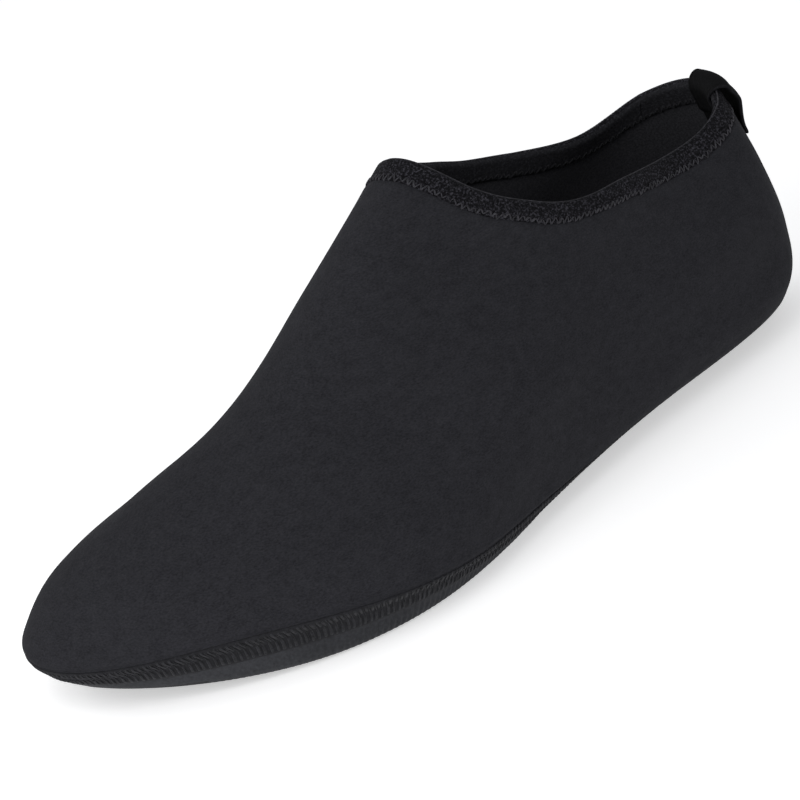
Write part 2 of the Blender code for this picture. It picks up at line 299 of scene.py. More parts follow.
# Soft troughs and ridges of the jersey: side (1 outer, -1 inner), share from heel to toe and
# level at one end and at the other, half width and height in metres
CREASES = (
    (1, 0.93, 0.93, 0.88, 0.58, 0.0085, -0.00082),
    (1, 0.62, 0.78, 0.60, 0.42, 0.0065, 0.00045),
    (1, 0.18, 0.86, 0.12, 0.45, 0.0080, -0.00068),
    (1, 0.30, 0.14, 0.50, 0.11, 0.0060, 0.00060),
    (1, 0.995, 0.15, 0.97, 0.12, 0.0050, -0.00075),
    (1, 0.88, 0.42, 0.80, 0.22, 0.0070, -0.00045),
    (-1, 0.90, 0.46, 0.78, 0.30, 0.0070, -0.00045),
    (-1, 0.35, 0.75, 0.48, 0.35, 0.0080, -0.00060),
    (-1, 0.15, 0.82, 0.11, 0.40, 0.0075, -0.00060),
)

# Offsets of the binding's own inner face from the upper's outer face, outside and inside
BINDING_OUTSIDE = -0.0007
BINDING_INSIDE = -WALL - 0.0002


def spline(knots, values, at):
    """Smooth line through a short table, held at its ends. Values may differ by point."""
    knots = np.asarray(knots, float)
    values = np.asarray(values, float)
    if values.ndim == 1:
        values = np.repeat(values[:, None], at.size, axis=1)
    spans = np.diff(knots)[:, None]
    rises = np.diff(values, axis=0) / spans
    slopes = np.empty_like(values)
    slopes[1:-1] = (rises[:-1] * spans[1:] + rises[1:] * spans[:-1]) / (spans[:-1] + spans[1:])
    slopes[0] = 1.5 * rises[0] - 0.5 * slopes[1]
    slopes[-1] = 1.5 * rises[-1] - 0.5 * slopes[-2]
    at = np.clip(at, knots[0], knots[-1])
    i = np.clip(np.searchsorted(knots, at, side="right") - 1, 0, len(knots) - 2)
    n = np.arange(at.size)
    span = spans[i, 0]
    t = (at - knots[i]) / span
    start = values[i, n] * (2 * t**3 - 3 * t**2 + 1) + slopes[i, n] * span * (t**3 - 2 * t**2 + t)
    end = values[i + 1, n] * (3 * t**2 - 2 * t**3) + slopes[i + 1, n] * span * (t**3 - t**2)
    return start + end


def along(table, at, column=1):
    return spline([row[0] for row in table], [row[column] for row in table], at)


def mix(a, b, share):
    return a + (b - a) * share


def ease(share):
    share = np.clip(share, 0.0, 1.0)
    return share * share * (3 - 2 * share)


def bump(at, middle, width):
    """Soft hump of height 1 round a middle."""
    return np.exp(-(((at - middle) / width) ** 2))


def unit(vectors):
    return vectors / np.maximum(np.linalg.norm(vectors, axis=-1, keepdims=True), 1e-12)


def fullness(share):
    return np.sqrt(np.maximum(0.0, 1 - np.abs(2 * share - 1) ** END_FULLNESS))


def seam_height(share):
    return SEAM_HEIGHT * along(SEAM_LINE, share)


def collar_height(share):
    knots = [0.0] + [row[0] for row in COLLAR_LINE] + [1.0]
    heights = [HEEL_HEIGHT] + [SIDE_HEIGHT * row[1] for row in COLLAR_LINE] + [THROAT_HEIGHT]
    return spline(knots, heights, share)


def half_width(share, level):
    levels = [row[0] for row in WIDTHS] + [1.0]
    columns = []
    for i, station in enumerate(STATIONS):
        sizes = [row[i + 1] * STATION_WIDTHS[i] / 2 for row in WIDTHS]
        sizes.append(COLLAR_WIDTHS[i] * COLLAR_WIDTH / 2)
        columns.append(spline(levels, sizes, level) / fullness(np.array(station)))
    return spline(STATIONS, np.array(columns), share) * fullness(share)


def centre_line(x):
    return -TOE_SWING * along(SWING_LINE, x / SHOE_LENGTH)


def arch_bite(x, level):
    share = x / SHOE_LENGTH
    start = ease((share - BITE_STARTS[0]) / (BITE_STARTS[1] - BITE_STARTS[0]))
    end = ease((BITE_ENDS[1] - share) / (BITE_ENDS[1] - BITE_ENDS[0]))
    return ARCH_BITE * start * end * (1 - level) ** 2


def half_section(share, level):
    """Station, half width and height of the outer face, as rows of points."""
    back_x = HEEL_CURVE * along(HEEL_LINE, level)
    front_x = SHOE_LENGTH - THROAT_SETBACK * along(VAMP_LINE, level)
    seam_ends = seam_height(np.array([0.0, 1.0]))
    back_z = mix(seam_ends[0], HEEL_HEIGHT, level)
    front_z = mix(seam_ends[1], THROAT_HEIGHT, along(VAMP_LINE, level, 2))
    seam_bow = seam_height(share) - mix(seam_ends[0], seam_ends[1], share)
    collar_bow = collar_height(share) - mix(HEEL_HEIGHT, THROAT_HEIGHT, share)
    z = mix(back_z, front_z, share) + mix(seam_bow, collar_bow, level)
    return np.stack([mix(back_x, front_x, share), half_width(share, level), z], axis=1)


def place(section, turn, level):
    """Points on the left (turn above 0) or right side, with the foot's left and right curve."""
    x, half, z = section.T
    share = (1 - np.cos(turn)) / 2
    lean = COLLAR_LEAN * 4 * share * (1 - share) * level**2
    inner = np.sin(turn) < 0
    half = np.where(inner, half - arch_bite(x, level) * np.minimum(1.0, half / BITE_FADE), half)
    z = np.where(inner, z + INNER_RISE * along(RISE_LINE, share) * level**2, z)
    return np.stack([x, np.where(inner, -half, half) + centre_line(x) - lean, z], axis=1)


def skin(turn, level):
    """Outer face of the upper, for flat arrays of turn (0 heel, pi toe, minus right) and level."""
    return place(half_section((1 - np.cos(turn)) / 2, level), turn, level)


def tread_height(x):
    share = x / SHOE_LENGTH
    roll = np.maximum(0.0, 1 - share / HEEL_FLAT[0])
    spring = np.maximum(0.0, (share - BALL_FLAT[1]) / (1 - BALL_FLAT[1]))
    arch = np.clip((share - HEEL_FLAT[1]) / (BALL_FLAT[0] - HEEL_FLAT[1]), 0.0, 1.0)
    return HEEL_ROLL * roll**2 + TOE_SPRING * spring**2 + ARCH_RISE * np.sin(math.pi * arch) ** 2


def side_handles(turn):
    """The four control points of the sole's side curve, from the seam to the tread edge."""
    turn = np.abs(turn)
    share = (1 - np.cos(turn)) / 2
    none = np.zeros_like(turn)
    seam = half_section(share, none)
    climb = unit(half_section(share, none + SLOPE_STEP) - seam)

    before = half_section((1 - np.cos(turn - NUDGE)) / 2, none)
    after = half_section((1 - np.cos(turn + NUDGE)) / 2, none)
    outward = unit(np.stack([before[:, 1] - after[:, 1], after[:, 0] - before[:, 0], none], axis=1))
    ends = (turn < NUDGE) | (turn > math.pi - NUDGE)
    outward[ends] = np.stack([np.where(turn < 1, -1.0, 1.0), none, none], axis=1)[ends]

    edge = seam - outward * (TREAD_INSET * along(INSET_LINE, share))[:, None]
    edge[:, 2] = tread_height(edge[:, 0])
    edge[ends, 1] = 0.0
    handle = SIDE_HANDLE * np.linalg.norm(edge - seam, axis=1)[:, None]
    return seam, seam - climb * handle, edge + outward * handle, edge


def sole_side(turn, fall):
    seam, low, wide, edge = side_handles(turn)
    fall = fall[:, None]
    rest = 1 - fall
    points = seam * rest**3 + low * 3 * rest**2 * fall + wide * 3 * rest * fall**2 + edge * fall**3
    return place(points, turn, np.zeros_like(turn))


def seam_fall(turn, distance):
    seam, low = side_handles(turn)[:2]
    return distance / (3 * np.linalg.norm(low - seam, axis=1))


def pace(turn, level):
    """Length of the wall per level, at the seam (level 0) or the collar (level 1)."""
    turn = np.asarray(turn, float)
    here = np.full_like(turn, level)
    there = np.full_like(turn, PACE_STEP if level < 0.5 else 1 - PACE_STEP)
    return np.linalg.norm(skin(turn, there) - skin(turn, here), axis=1) / PACE_STEP


def wall(turn, level, offset):
    """Points off the upper's outer face by an offset along its normal, with normal and climb."""
    low = np.maximum(level - SLOPE_STEP / 2, 0.0)
    high = np.minimum(level + SLOPE_STEP / 2, 1.0)
    climb = unit(skin(turn, high) - skin(turn, low))
    sweep = skin(turn + NUDGE, level) - skin(turn - NUDGE, level)
    normal = unit(np.cross(climb, sweep))
    return skin(turn, level) + normal * np.asarray(offset)[..., None], normal, climb


def on_collar(turn, drop, offset):
    """Points a distance down the wall from the collar's edge (or above it), off its outer face."""
    level = 1.0 - np.maximum(drop, 0.0) / pace(turn, 1.0)
    points, normal, climb = wall(turn, level, offset)
    return points + climb * np.maximum(-drop, 0.0)[:, None], normal


def across_band(turn, reach, offset):
    """Points over the joint of upper and sole, with normals. Reach is 1 at the band's top, 0 at
    the seam and -1 at the band's foot."""
    def surface(angle, at):
        up = skin(angle, np.maximum(at, 0.0) * BAND_TOP / pace(angle, 0.0))
        down = sole_side(angle, np.maximum(-at, 0.0) * BAND_FALL)
        return np.where((at >= 0)[:, None], up, down)

    climb = surface(turn, reach + BAND_STEP) - surface(turn, reach - BAND_STEP)
    sweep = surface(turn + NUDGE, reach) - surface(turn - NUDGE, reach)
    normal = unit(np.cross(climb, sweep))
    return surface(turn, reach) + normal * np.asarray(offset)[..., None], normal


def even_turns(count, height, start=-math.pi):
    """Turns that are evenly spaced by length round the seam (height 0) or the collar (height 1)."""
    fine = np.linspace(start, start + 2 * math.pi, LENGTH_STEPS)
    ring = skin(fine, np.full_like(fine, float(height)))
    length = np.concatenate([[0.0], np.cumsum(np.linalg.norm(np.diff(ring, axis=0), axis=1))])
    at = np.arange(count) * length[-1] / count
    return np.interp(at, length, fine), length[-1]


def ring_faces(rings, columns, closed=True):
    """Quads between rings, with their outer side to the left of the way round."""
    k = np.arange(columns if closed else columns - 1)
    beside = (k + 1) % columns
    rows = (np.arange(rings - 1) * columns)[:, None]
    above = rows + columns
    quads = np.stack([rows + k, above + k, above + beside, rows + beside], axis=-1)
    return quads.reshape(-1, 4)


def add_mesh(name, points, faces, finishes, face_finish=None):
    """Piece in the row frame, smooth shaded, riding on its body."""
    mesh = bpy.data.meshes.new(name)
    mesh.from_pydata(points + origin, [], faces)
    for finish in finishes:
        mesh.materials.append(finish)
    if face_finish is not None:
        mesh.polygons.foreach_set("material_index", np.asarray(face_finish, np.int32))
    mesh.shade_smooth()
    mesh.update()
    piece = bpy.data.objects.new(name, mesh)
    bpy.context.scene.collection.objects.link(piece)
    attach(piece, "root")
    return piece


def surface_normals(points, faces):
    """Vertex normals of quads and triangles, weighted by area."""
    found = np.zeros_like(points)
    for size in {len(face) for face in faces}:
        corners = np.array([face for face in faces if len(face) == size])
        a = points[corners[:, 0]]
        normal = np.zeros_like(a)
        for i in range(1, size - 1):
            normal += np.cross(points[corners[:, i]] - a, points[corners[:, i + 1]] - a)
        for i in range(size):
            np.add.at(found, corners[:, i], normal)
    return unit(found)


def shell(points, faces, thickness, relief=0.0):
    """Closed wall under a surface: its outer face with a relief, its inner face and its rims."""
    normals = surface_normals(points, faces)
    outer = points + normals * np.broadcast_to(relief, len(points))[:, None]
    inner = points - normals * thickness
    count = len(points)
    edges = set()
    for face in faces:
        for a, b in zip(face, tuple(face[1:]) + (face[0],)):
            if (b, a) in edges:
                edges.discard((b, a))
            else:
                edges.add((a, b))
    inside = [tuple(i + count for i in reversed(face)) for face in faces]
    rim = [(b, a, a + count, b + count) for a, b in sorted(edges)]
    return np.concatenate([outer, inner]), faces + inside + rim, len(inside), len(rim)


def strands(threads, half_widths, half_height):
    """Many thread strands in one mesh, each a flattened tube along its path, closed at its ends.

    Threads is a pair (paths, normals), both strands x points x 3.
    """
    paths, normals = threads
    sides = THREAD_SIDES
    number, steps = paths.shape[:2]
    tangents = unit(np.gradient(paths, axis=1))
    normals = unit(normals - tangents * np.sum(normals * tangents, axis=-1, keepdims=True))
    across = np.cross(tangents, normals)
    taper = np.ones(steps)
    taper[[0, -1]] = THREAD_END
    angles = 2 * math.pi * np.arange(sides) / sides
    widths = np.broadcast_to(half_widths, number)[:, None, None, None]
    ring = across[:, :, None] * np.cos(angles)[:, None] * widths
    ring = ring + normals[:, :, None] * (np.sin(angles) * half_height)[:, None]
    points = paths[:, :, None] + ring * taper[None, :, None, None]

    k = np.arange(sides)
    beside = (k + 1) % sides
    rows = (np.arange(steps - 1) * sides)[:, None]
    quads = np.stack([rows + k, rows + beside, rows + beside + sides, rows + k + sides], axis=-1)
    quads = quads.reshape(-1, 4)
    shift = (np.arange(number) * steps * sides)[:, None, None]
    faces = [tuple(face) for face in (quads[None] + shift).reshape(-1, 4).tolist()]
    caps = shift[:, 0, 0]
    faces += [tuple((c + k[::-1]).tolist()) for c in caps]
    faces += [tuple((c + (steps - 1) * sides + k).tolist()) for c in caps]
    return points.reshape(-1, 3), faces


def thread_paths(surface, starts, ends, steps, rise, sink):
    """Strand paths between points (turn, distance) of a surface, arched up from sunk ends."""
    share = np.linspace(0, 1, steps)
    turn = mix(starts[0][:, None], ends[0][:, None], share).ravel()
    reach = mix(starts[1][:, None], ends[1][:, None], share).ravel()
    arch = np.sin(math.pi * share) ** THREAD_ARCH
    lift = np.tile(mix(-sink, rise, arch), len(starts[0]))
    points, normals = surface(turn, reach, lift)
    return points.reshape(-1, steps, 3), normals.reshape(-1, steps, 3)


class Finish:
    """Node material made from named parts."""

    def __init__(self, name, roughness, sheen, specular):
        self.material = bpy.data.materials.new(name)
        self.material.use_nodes = True
        self.tree = self.material.node_tree
        self.shader = self.tree.nodes["Principled BSDF"]
        self.shader.inputs["Roughness"].default_value = roughness
        self.shader.inputs["Sheen Weight"].default_value = sheen
        self.shader.inputs["Sheen Roughness"].default_value = 0.45
        self.shader.inputs["Specular IOR Level"].default_value = specular
        self.place = self.tree.nodes.new("ShaderNodeTexCoord")

    def node(self, kind, **inputs):
        made = self.tree.nodes.new(kind)
        for name, value in inputs.items():
            socket = made.inputs[name.replace("_", " ")]
            if isinstance(value, bpy.types.NodeSocket):
                self.tree.links.new(value, socket)
            else:
                socket.default_value = value
        return made

    def stretched(self, source, scale):
        made = self.node("ShaderNodeMapping", Vector=source, Scale=scale)
        return made.outputs["Vector"]

    def noise(self, vector, scale, detail=2.0, roughness=0.5):
        sizes = {"Scale": scale, "Detail": detail, "Roughness": roughness}
        made = self.node("ShaderNodeTexNoise", Vector=vector, **sizes)
        return made.outputs["Fac"]

    def added(self, parts):
        """Sum of pairs (source, share)."""
        total = None
        for source, share in parts:
            part = source if share == 1 else self.maths("MULTIPLY", source, share)
            total = part if total is None else self.maths("ADD", total, part)
        return total

    def maths(self, operation, first, second):
        made = self.tree.nodes.new("ShaderNodeMath")
        made.operation = operation
        for socket, value in zip(made.inputs, (first, second)):
            if isinstance(value, bpy.types.NodeSocket):
                self.tree.links.new(value, socket)
            else:
                socket.default_value = value
        return made.outputs["Value"]

    def ramp(self, source, stops):
        made = self.node("ShaderNodeValToRGB", Fac=source)
        while len(made.color_ramp.elements) < len(stops):
            made.color_ramp.elements.new(0.5)
        for element, (position, colour) in zip(made.color_ramp.elements, stops):
            element.position = position
            element.color = (*colour, 1.0)
        return made.outputs["Color"]

    def blend(self, share, source, colour):
        """Mix of a source and a plain colour, whose part is the share."""
        made = self.tree.nodes.new("ShaderNodeMix")
        made.data_type = "RGBA"
        self.tree.links.new(share, made.inputs[0])
        self.tree.links.new(source, made.inputs[6])
        made.inputs[7].default_value = (*colour, 1.0)
        return made.outputs[2]

    def colour(self, source):
        self.tree.links.new(source, self.shader.inputs["Base Color"])

    def relief(self, height, distance, strength=1.0):
        made = self.node("ShaderNodeBump", Height=height, Distance=distance, Strength=strength)
        self.tree.links.new(made.outputs["Normal"], self.shader.inputs["Normal"])


def jersey(name, dark, light):
    """Fine stretch jersey over foam: tiny courses and soft mottling, quite matt."""
    finish = Finish(name, 0.9, 0.0, 0.06)
    place = finish.place.outputs["Object"]
    grain = finish.noise(finish.stretched(place, (0.55, 0.55, 1.3)), 2600.0, 2.0, 0.6)
    mottle = finish.noise(finish.stretched(place, (0.6, 0.6, 1.0)), 420.0, 3.0, 0.6)
    patches = finish.noise(place, 28.0, 2.0)
    shade = finish.added(((grain, 0.62), (mottle, 0.28), (patches, 0.10)))
    finish.colour(finish.ramp(shade, ((0.33, dark), (0.67, light))))
    finish.relief(finish.added(((grain, 1), (mottle, 0.8))), 0.00012, 0.55)
    return finish.material


def knit(name, dark, light, fleck):
    """Knitted elastic tape: dark ground, heather flecks and loops that catch the light."""
    finish = Finish(name, 0.9, 0.0, 0.08)
    place = finish.place.outputs["Object"]
    grain = finish.noise(place, 1500.0, 2.0, 0.6)
    ground = finish.ramp(grain, ((0.35, dark), (0.7, light)))
    spots = finish.noise(finish.stretched(place, (1.0, 1.0, 1.2)), 1500.0, 3.0, 0.75)
    share = finish.ramp(spots, ((0.50, (0.0,) * 3), (0.64, (1.0,) * 3)))
    finish.colour(finish.blend(share, ground, fleck))
    finish.relief(finish.added(((grain, 1), (spots, 1))), 0.00015, 0.5)
    return finish.material


def thread(name, dark, light, roughness):
    """Twisted filament thread with a faint shine."""
    finish = Finish(name, roughness, 0.02, 0.2)
    place = finish.place.outputs["Object"]
    grain = finish.noise(place, 900.0, 3.0, 0.7)
    finish.colour(finish.ramp(grain, ((0.3, dark), (0.72, light))))
    finish.relief(finish.noise(place, 5200.0, 1.0), 0.00006, 0.5)
    return finish.material


def rubber(name, dark, light):
    """Thin moulded rubber with a fine grain and a dusty satin bloom."""
    finish = Finish(name, 0.7, 0.02, 0.2)
    place = finish.place.outputs["Object"]
    grain = finish.noise(place, 1100.0, 3.0, 0.6)
    bloom = finish.noise(place, 60.0, 3.0)
    shade = finish.added(((grain, 0.6), (bloom, 0.4)))
    finish.colour(finish.ramp(shade, ((0.35, dark), (0.68, light))))
    finish.relief(grain, 0.00008, 0.4)
    return finish.material


def tape(name, dark, light):
    """Smooth woven tape with fine cross threads."""
    finish = Finish(name, 0.8, 0.0, 0.08)
    place = finish.place.outputs["Object"]
    warp = finish.noise(finish.stretched(place, (1.0, 2.2, 0.5)), 1300.0, 2.0, 0.5)
    finish.colour(finish.ramp(warp, ((0.35, dark), (0.7, light))))
    finish.relief(warp, 0.0001, 0.45)
    return finish.material


def lining(name, dark, light):
    """Dark looped cloth that faces the inside."""
    finish = Finish(name, 0.95, 0.02, 0.08)
    place = finish.place.outputs["Object"]
    grain = finish.noise(place, 1900.0, 2.0, 0.6)
    finish.colour(finish.ramp(grain, ((0.35, dark), (0.7, light))))
    finish.relief(grain, 0.00012, 0.5)
    return finish.material


# Camera of the photo's view: angles in degrees, distance and target in the last's frame
CAMERA_AZIMUTH = 37.8985
CAMERA_ELEVATION = 21.1001
CAMERA_ROLL = -16.0720
CAMERA_DISTANCE = 1.01031
CAMERA_TARGET = (0.131, 0.0, 0.04)
CAMERA_LENS = 173.25
CAMERA_SENSOR = 36
CAMERA_SHIFT = (-0.028749, -0.054227)

# Pale floor with a weak glow of its own, faint sky, and soft lamps: name, place, size, power
FLOOR_REACH = 4.0
FLOOR_COLOUR = (0.8, 0.8, 0.8, 1.0)
FLOOR_GLOW_COLOUR = (1.0, 1.0, 1.0, 1.0)
FLOOR_GLOW = 0.5
SKY_COLOUR = (0.96, 0.97, 1.0, 1.0)
SKY_STRENGTH = 0.5
LAMP_TARGET = (0.0, 0.0, 0.03)
LAMPS = (
    ("overhead", (0.1, -0.2, 1.2), 1.4, 1.2),
    ("toe_side", (0.33, 0.15, 0.30), 0.3, 0.8),
    ("inner_side", (0.35, -0.65, 0.42), 0.4, 1.3),
)

# The upper's solid has its points at these turns and levels, so its box sets the origin
sample_turns = math.pi * np.arange(-27, 29) / 28
sample_levels = (0.0, 0.02, 0.04, 0.07, 0.11, 0.16, 0.23, 0.32, 0.42)
rings = [np.full_like(sample_turns, level) for level in sample_levels]
low_corner = np.concatenate([skin(sample_turns, ring) for ring in rings]).min(axis=0)
origin = np.array(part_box("upper")[0]) - low_corner
origin[2] = 0.0

# Finishes, each from its dark to its light colour. The knits have the flecks' colour last
jersey_finish = jersey("stretch_jersey", (0.0130, 0.0131, 0.0153), (0.0288, 0.0288, 0.0331))
lining_finish = lining("inner_lining", (0.0240, 0.0240, 0.0270), (0.0440, 0.0440, 0.0490))
knit_finish = knit(
    "knitted_binding",
    (0.0029, 0.0029, 0.0035),
    (0.0075, 0.0074, 0.0088),
    (0.0420, 0.0411, 0.0490),
)
# The binding's inner face: the same knitted tape with a paler ground and dimmer flecks, painted
# light and shade of the collar's inside
inner_knit_painted_light_finish = knit(
    "binding_inside_painted_light",
    (0.0110, 0.0110, 0.0125),
    (0.0190, 0.0190, 0.0215),
    (0.0290, 0.0290, 0.0330),
)
stitch_finish = thread("zigzag_thread", (0.0095, 0.0094, 0.0110), (0.0560, 0.0545, 0.0630), 0.7)
# Darker copy of the zigzag thread for the collar's inside: painted shade
stitch_painted_shade_finish = thread("zigzag_thread_painted_shade", (0.009, 0.009, 0.0105), (0.022, 0.022, 0.025), 0.8)
ladder_finish = thread("ladder_thread", (0.0080, 0.0082, 0.0094), (0.0300, 0.0300, 0.0348), 0.75)
band_finish = thread("band_ground", (0.0075, 0.0076, 0.0090), (0.0185, 0.0185, 0.0215), 0.9)
rubber_finish = rubber("ribbed_rubber", (0.0155, 0.0160, 0.0188), (0.0375, 0.0387, 0.0442))
# Darker copy of the rubber, painted shade: for the tread's underside, the cup's inner face and
# rims, and painted contact shadow under the toe
rubber_painted_shade_finish = rubber("rubber_painted_shade", (0.0060, 0.0060, 0.0075), (0.0140, 0.0140, 0.0170))
insole_finish = lining("insole_cloth", (0.0100, 0.0100, 0.0120), (0.0260, 0.0260, 0.0300))
tape_finish = tape("pull_tab_tape", (0.0024, 0.0024, 0.0027), (0.0062, 0.0062, 0.0068))
# Paler copy of the tape for the tab's near edge and rims: painted highlight where the edge catches
# the light
tab_edge_highlight_finish = tape("pull_tab_painted_highlight", (0.0054, 0.0054, 0.0063), (0.0144, 0.0144, 0.0162))


def crease_relief(points):
    """Height of the soft troughs and ridges, and of a faint unevenness, at points of the wall."""
    x, y, z = (points / UNEVENNESS_SPREAD).T
    along_shoe = np.sin(x + 1.3 * np.sin(0.9 * z))
    relief = UNEVENNESS * along_shoe * np.sin(1.2 * z + 0.8 * y + np.sin(0.7 * x))
    steps = np.linspace(0, 1, CREASE_STEPS)
    for side, from_share, from_level, to_share, to_level, width, height in CREASES:
        turn = side * np.arccos(1 - 2 * mix(from_share, to_share, steps))
        line = skin(turn, mix(from_level, to_level, steps))
        near = np.min([np.linalg.norm(points - spot, axis=1) for spot in line], axis=0)
        relief += height * np.exp(-((near / width) ** 2))
    return relief


def make_upper():
    """Jersey wall with its creases, the groove and welt over the seam, and the binding's pinch."""
    columns, length = even_turns(UPPER_COLUMNS, 0)
    levels = np.concatenate([[0.0]] + [np.linspace(*span)[1:] for span in UPPER_LEVELS])
    turn, level = np.tile(columns, len(levels)), np.repeat(levels, len(columns))
    points = skin(turn, level)
    over_seam = level * np.tile(pace(columns, 0.0), len(levels))
    under_edge = (1 - level) * np.tile(pace(columns, 1.0), len(levels))
    under_tape = under_edge - BINDING_DROP
    relief = GROOVE[2] * bump(over_seam, GROOVE[0], GROOVE[1])
    relief += WELT[2] * bump(over_seam, WELT[0], WELT[1])
    fade = ease(over_seam / CREASE_FADE) * ease(under_tape / CREASE_FADE)
    relief += crease_relief(points) * fade
    relief -= PINCH_DEPTH * ease(1 - (under_tape + PINCH_START) / PINCH_REACH)
    around = np.tile(np.arange(len(columns)) / len(columns) * length, len(levels))
    wander = PUCKER_WANDER * np.sin(around * PUCKER_WANDER_RATE)
    wave = np.sin(2 * math.pi * around / PUCKER_PITCH + wander)
    relief += PUCKER_DEPTH * wave * bump(under_edge, BINDING_DROP + PUCKER_DROP, PUCKER_REACH)
    faces = [tuple(face) for face in ring_faces(len(levels), len(columns)).tolist()]
    points, faces, inside, rims = shell(points, faces, WALL, relief)
    kinds = [0] * (len(faces) - inside - rims) + [1] * (inside + rims)
    piece = add_mesh("jersey_upper", points, faces, (jersey_finish, lining_finish), kinds)
    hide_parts("upper")


def arc_over(outside, inside, crest, count):
    """Arc over the collar's edge from an outside to an inside offset, as (drop, offset)."""
    middle, reach = (outside + inside) / 2, (outside - inside) / 2
    angles = np.linspace(0, math.pi, count)
    return [(-crest * math.sin(angle), middle + reach * math.cos(angle)) for angle in angles]


def tape_loop(steps):
    """Closed outline of the binding as (drop, offset, share of relief), outer face first."""
    foot, outside, inside = BINDING_DROP, BINDING_OUTSIDE, BINDING_INSIDE
    out_face, in_face = outside + BINDING_THICKNESS, inside - BINDING_THICKNESS
    low = foot + BINDING_SELVEDGE
    thin, thick = BINDING_LIP
    path = [(low, mix(outside, out_face, thin), 0)]
    path += [(foot, mix(outside, out_face, thick), BINDING_LIP_RELIEF)]
    shares = np.linspace(BINDING_LIP_SPAN, 1, steps)[:-1]
    path += [(foot * (1 - share), out_face, 1) for share in shares]
    over = arc_over(out_face, in_face, BINDING_CREST + BINDING_THICKNESS, steps)
    path += [(drop, offset, 1) for drop, offset in over]
    shares = np.linspace(0, 1 - BINDING_LIP_SPAN, steps)[1:]
    path += [(foot * share, in_face, 1) for share in shares]
    path += [(foot, mix(inside, in_face, thick), BINDING_LIP_RELIEF)]
    path += [(low, mix(inside, in_face, thin), 0)]
    path += [(foot, inside, 0), (foot / 2, inside, 0)]
    under = reversed(arc_over(outside, inside, BINDING_CREST, BINDING_INNER_STEPS))
    path += [(drop, offset, 0) for drop, offset in under]
    return np.array(path + [(foot / 2, outside, 0), (foot, outside, 0)])


def closed_ring(name, columns, outline, finishes, surface, relief=None, row_finish=None):
    """Mesh swept round the shoe from a closed outline of (first, second) surface coordinates."""
    outline = np.concatenate([outline, outline[:1]])
    rows = len(outline)
    turn = np.tile(columns, rows)
    first, second = (np.repeat(outline[:, i], len(columns)) for i in range(2))
    points, _ = surface(turn, first, second)
    faces = [tuple(face) for face in ring_faces(rows, len(columns)).tolist()]
    if relief is not None:
        points = points + surface_normals(points, faces) * relief[:, None]
    last = (rows - 1) * len(columns)
    faces = [tuple(i - last if i >= last else i for i in face) for face in faces]
    kinds = None if row_finish is None else np.repeat(row_finish, len(columns))
    return add_mesh(name, points[:last], faces, finishes, kinds)


def make_binding():
    """Knitted tape folded over the collar's edge, with its courses and wales in relief."""
    columns, length = even_turns(BINDING_COLUMNS, 1)
    outline = tape_loop(BINDING_STEPS)
    closed = np.concatenate([outline, outline[:1]])
    steps = np.linalg.norm(np.diff(closed[:, :2], axis=0), axis=1)
    across = np.repeat(np.concatenate([[0.0], np.cumsum(steps)]), len(columns))
    share = np.repeat(closed[:, 2], len(columns))
    around = np.tile(np.arange(len(columns)) / len(columns), len(closed))
    wale = np.abs(np.sin(math.pi * round(length / KNIT_WALE) * around))
    course = np.sin(2 * math.pi * across / KNIT_COURSE + KNIT_SLANT * wale)
    relief = share * KNIT_DEPTH * (KNIT_WALE_SHARE * wale + KNIT_COURSE_SHARE * course)
    relief[-len(columns):] = relief[: len(columns)]
    # Rows past this share take the inner tones, painted light and shade of the collar's inside
    inner_painted_start = mix(BINDING_OUTSIDE, BINDING_INSIDE, INNER_PAINTED_LIGHT_START)
    kinds = (outline[:, 1] < inner_painted_start).astype(int)
    finishes = (knit_finish, inner_knit_painted_light_finish)
    name = "knitted_collar_binding"
    piece = closed_ring(name, columns, outline[:, :2], finishes, on_collar, relief, kinds)
    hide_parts("collar_binding")

    # Thin pale strand along the binding's crest, in the zigzag thread's colours
    angles = 2 * math.pi * np.arange(THREAD_SIDES) / THREAD_SIDES
    drops = -(BINDING_CREST + BINDING_THICKNESS) * RIM_LINE_DROP - RIM_LINE_RADIUS * np.sin(angles)
    middle = (BINDING_OUTSIDE + BINDING_INSIDE) / 2 + RIM_LINE_SHIFT
    line_outline = np.stack([drops, middle + RIM_LINE_RADIUS * np.cos(angles)], axis=1)
    columns, _ = even_turns(RIM_COLUMNS, 1)
    piece = closed_ring("rim_pale_line", columns, line_outline, (stitch_finish,), on_collar)


def make_zigzag():
    """Zigzag thread over the binding's lower edge, outside and inside; the inside one in a darker
    copy of the thread, painted shade.
    """
    count = 2 * round(even_turns(2, 1)[1] / ZIGZAG_PITCH)
    at, _ = even_turns(count, 1)
    chance = np.random.default_rng(3)
    at = at + chance.uniform(-ZIGZAG_SHIFTS, ZIGZAG_SHIFTS, count) * 2 * math.pi / count
    ahead = np.roll(at, -1)
    ahead[-1] += 2 * math.pi
    odd = np.arange(count) % 2 == 1
    drops = np.where(odd, ZIGZAG_FOOT, ZIGZAG_TOP) + chance.uniform(*ZIGZAG_STRAYS, count)

    def outside(turn, drop, lift):
        return on_collar(turn, drop, BINDING_OUTSIDE + BINDING_THICKNESS + lift)

    def inside(turn, drop, lift):
        points, normals = on_collar(turn, drop, BINDING_INSIDE - BINDING_THICKNESS - lift)
        return points, -normals

    for name, surface, finish in (
        ("zigzag_stitch_outside", outside, stitch_finish),
        ("zigzag_stitch_inside", inside, stitch_painted_shade_finish),
    ):
        ends = (ahead, np.roll(drops, -1))
        paths = thread_paths(surface, (at, drops), ends, ZIGZAG_STEPS, ZIGZAG_LIFT, ZIGZAG_SINK)
        points, faces = strands(paths, chance.uniform(*ZIGZAG_WIDTHS, count), ZIGZAG_HEIGHT)
        piece = add_mesh(name, points, faces, (finish,))


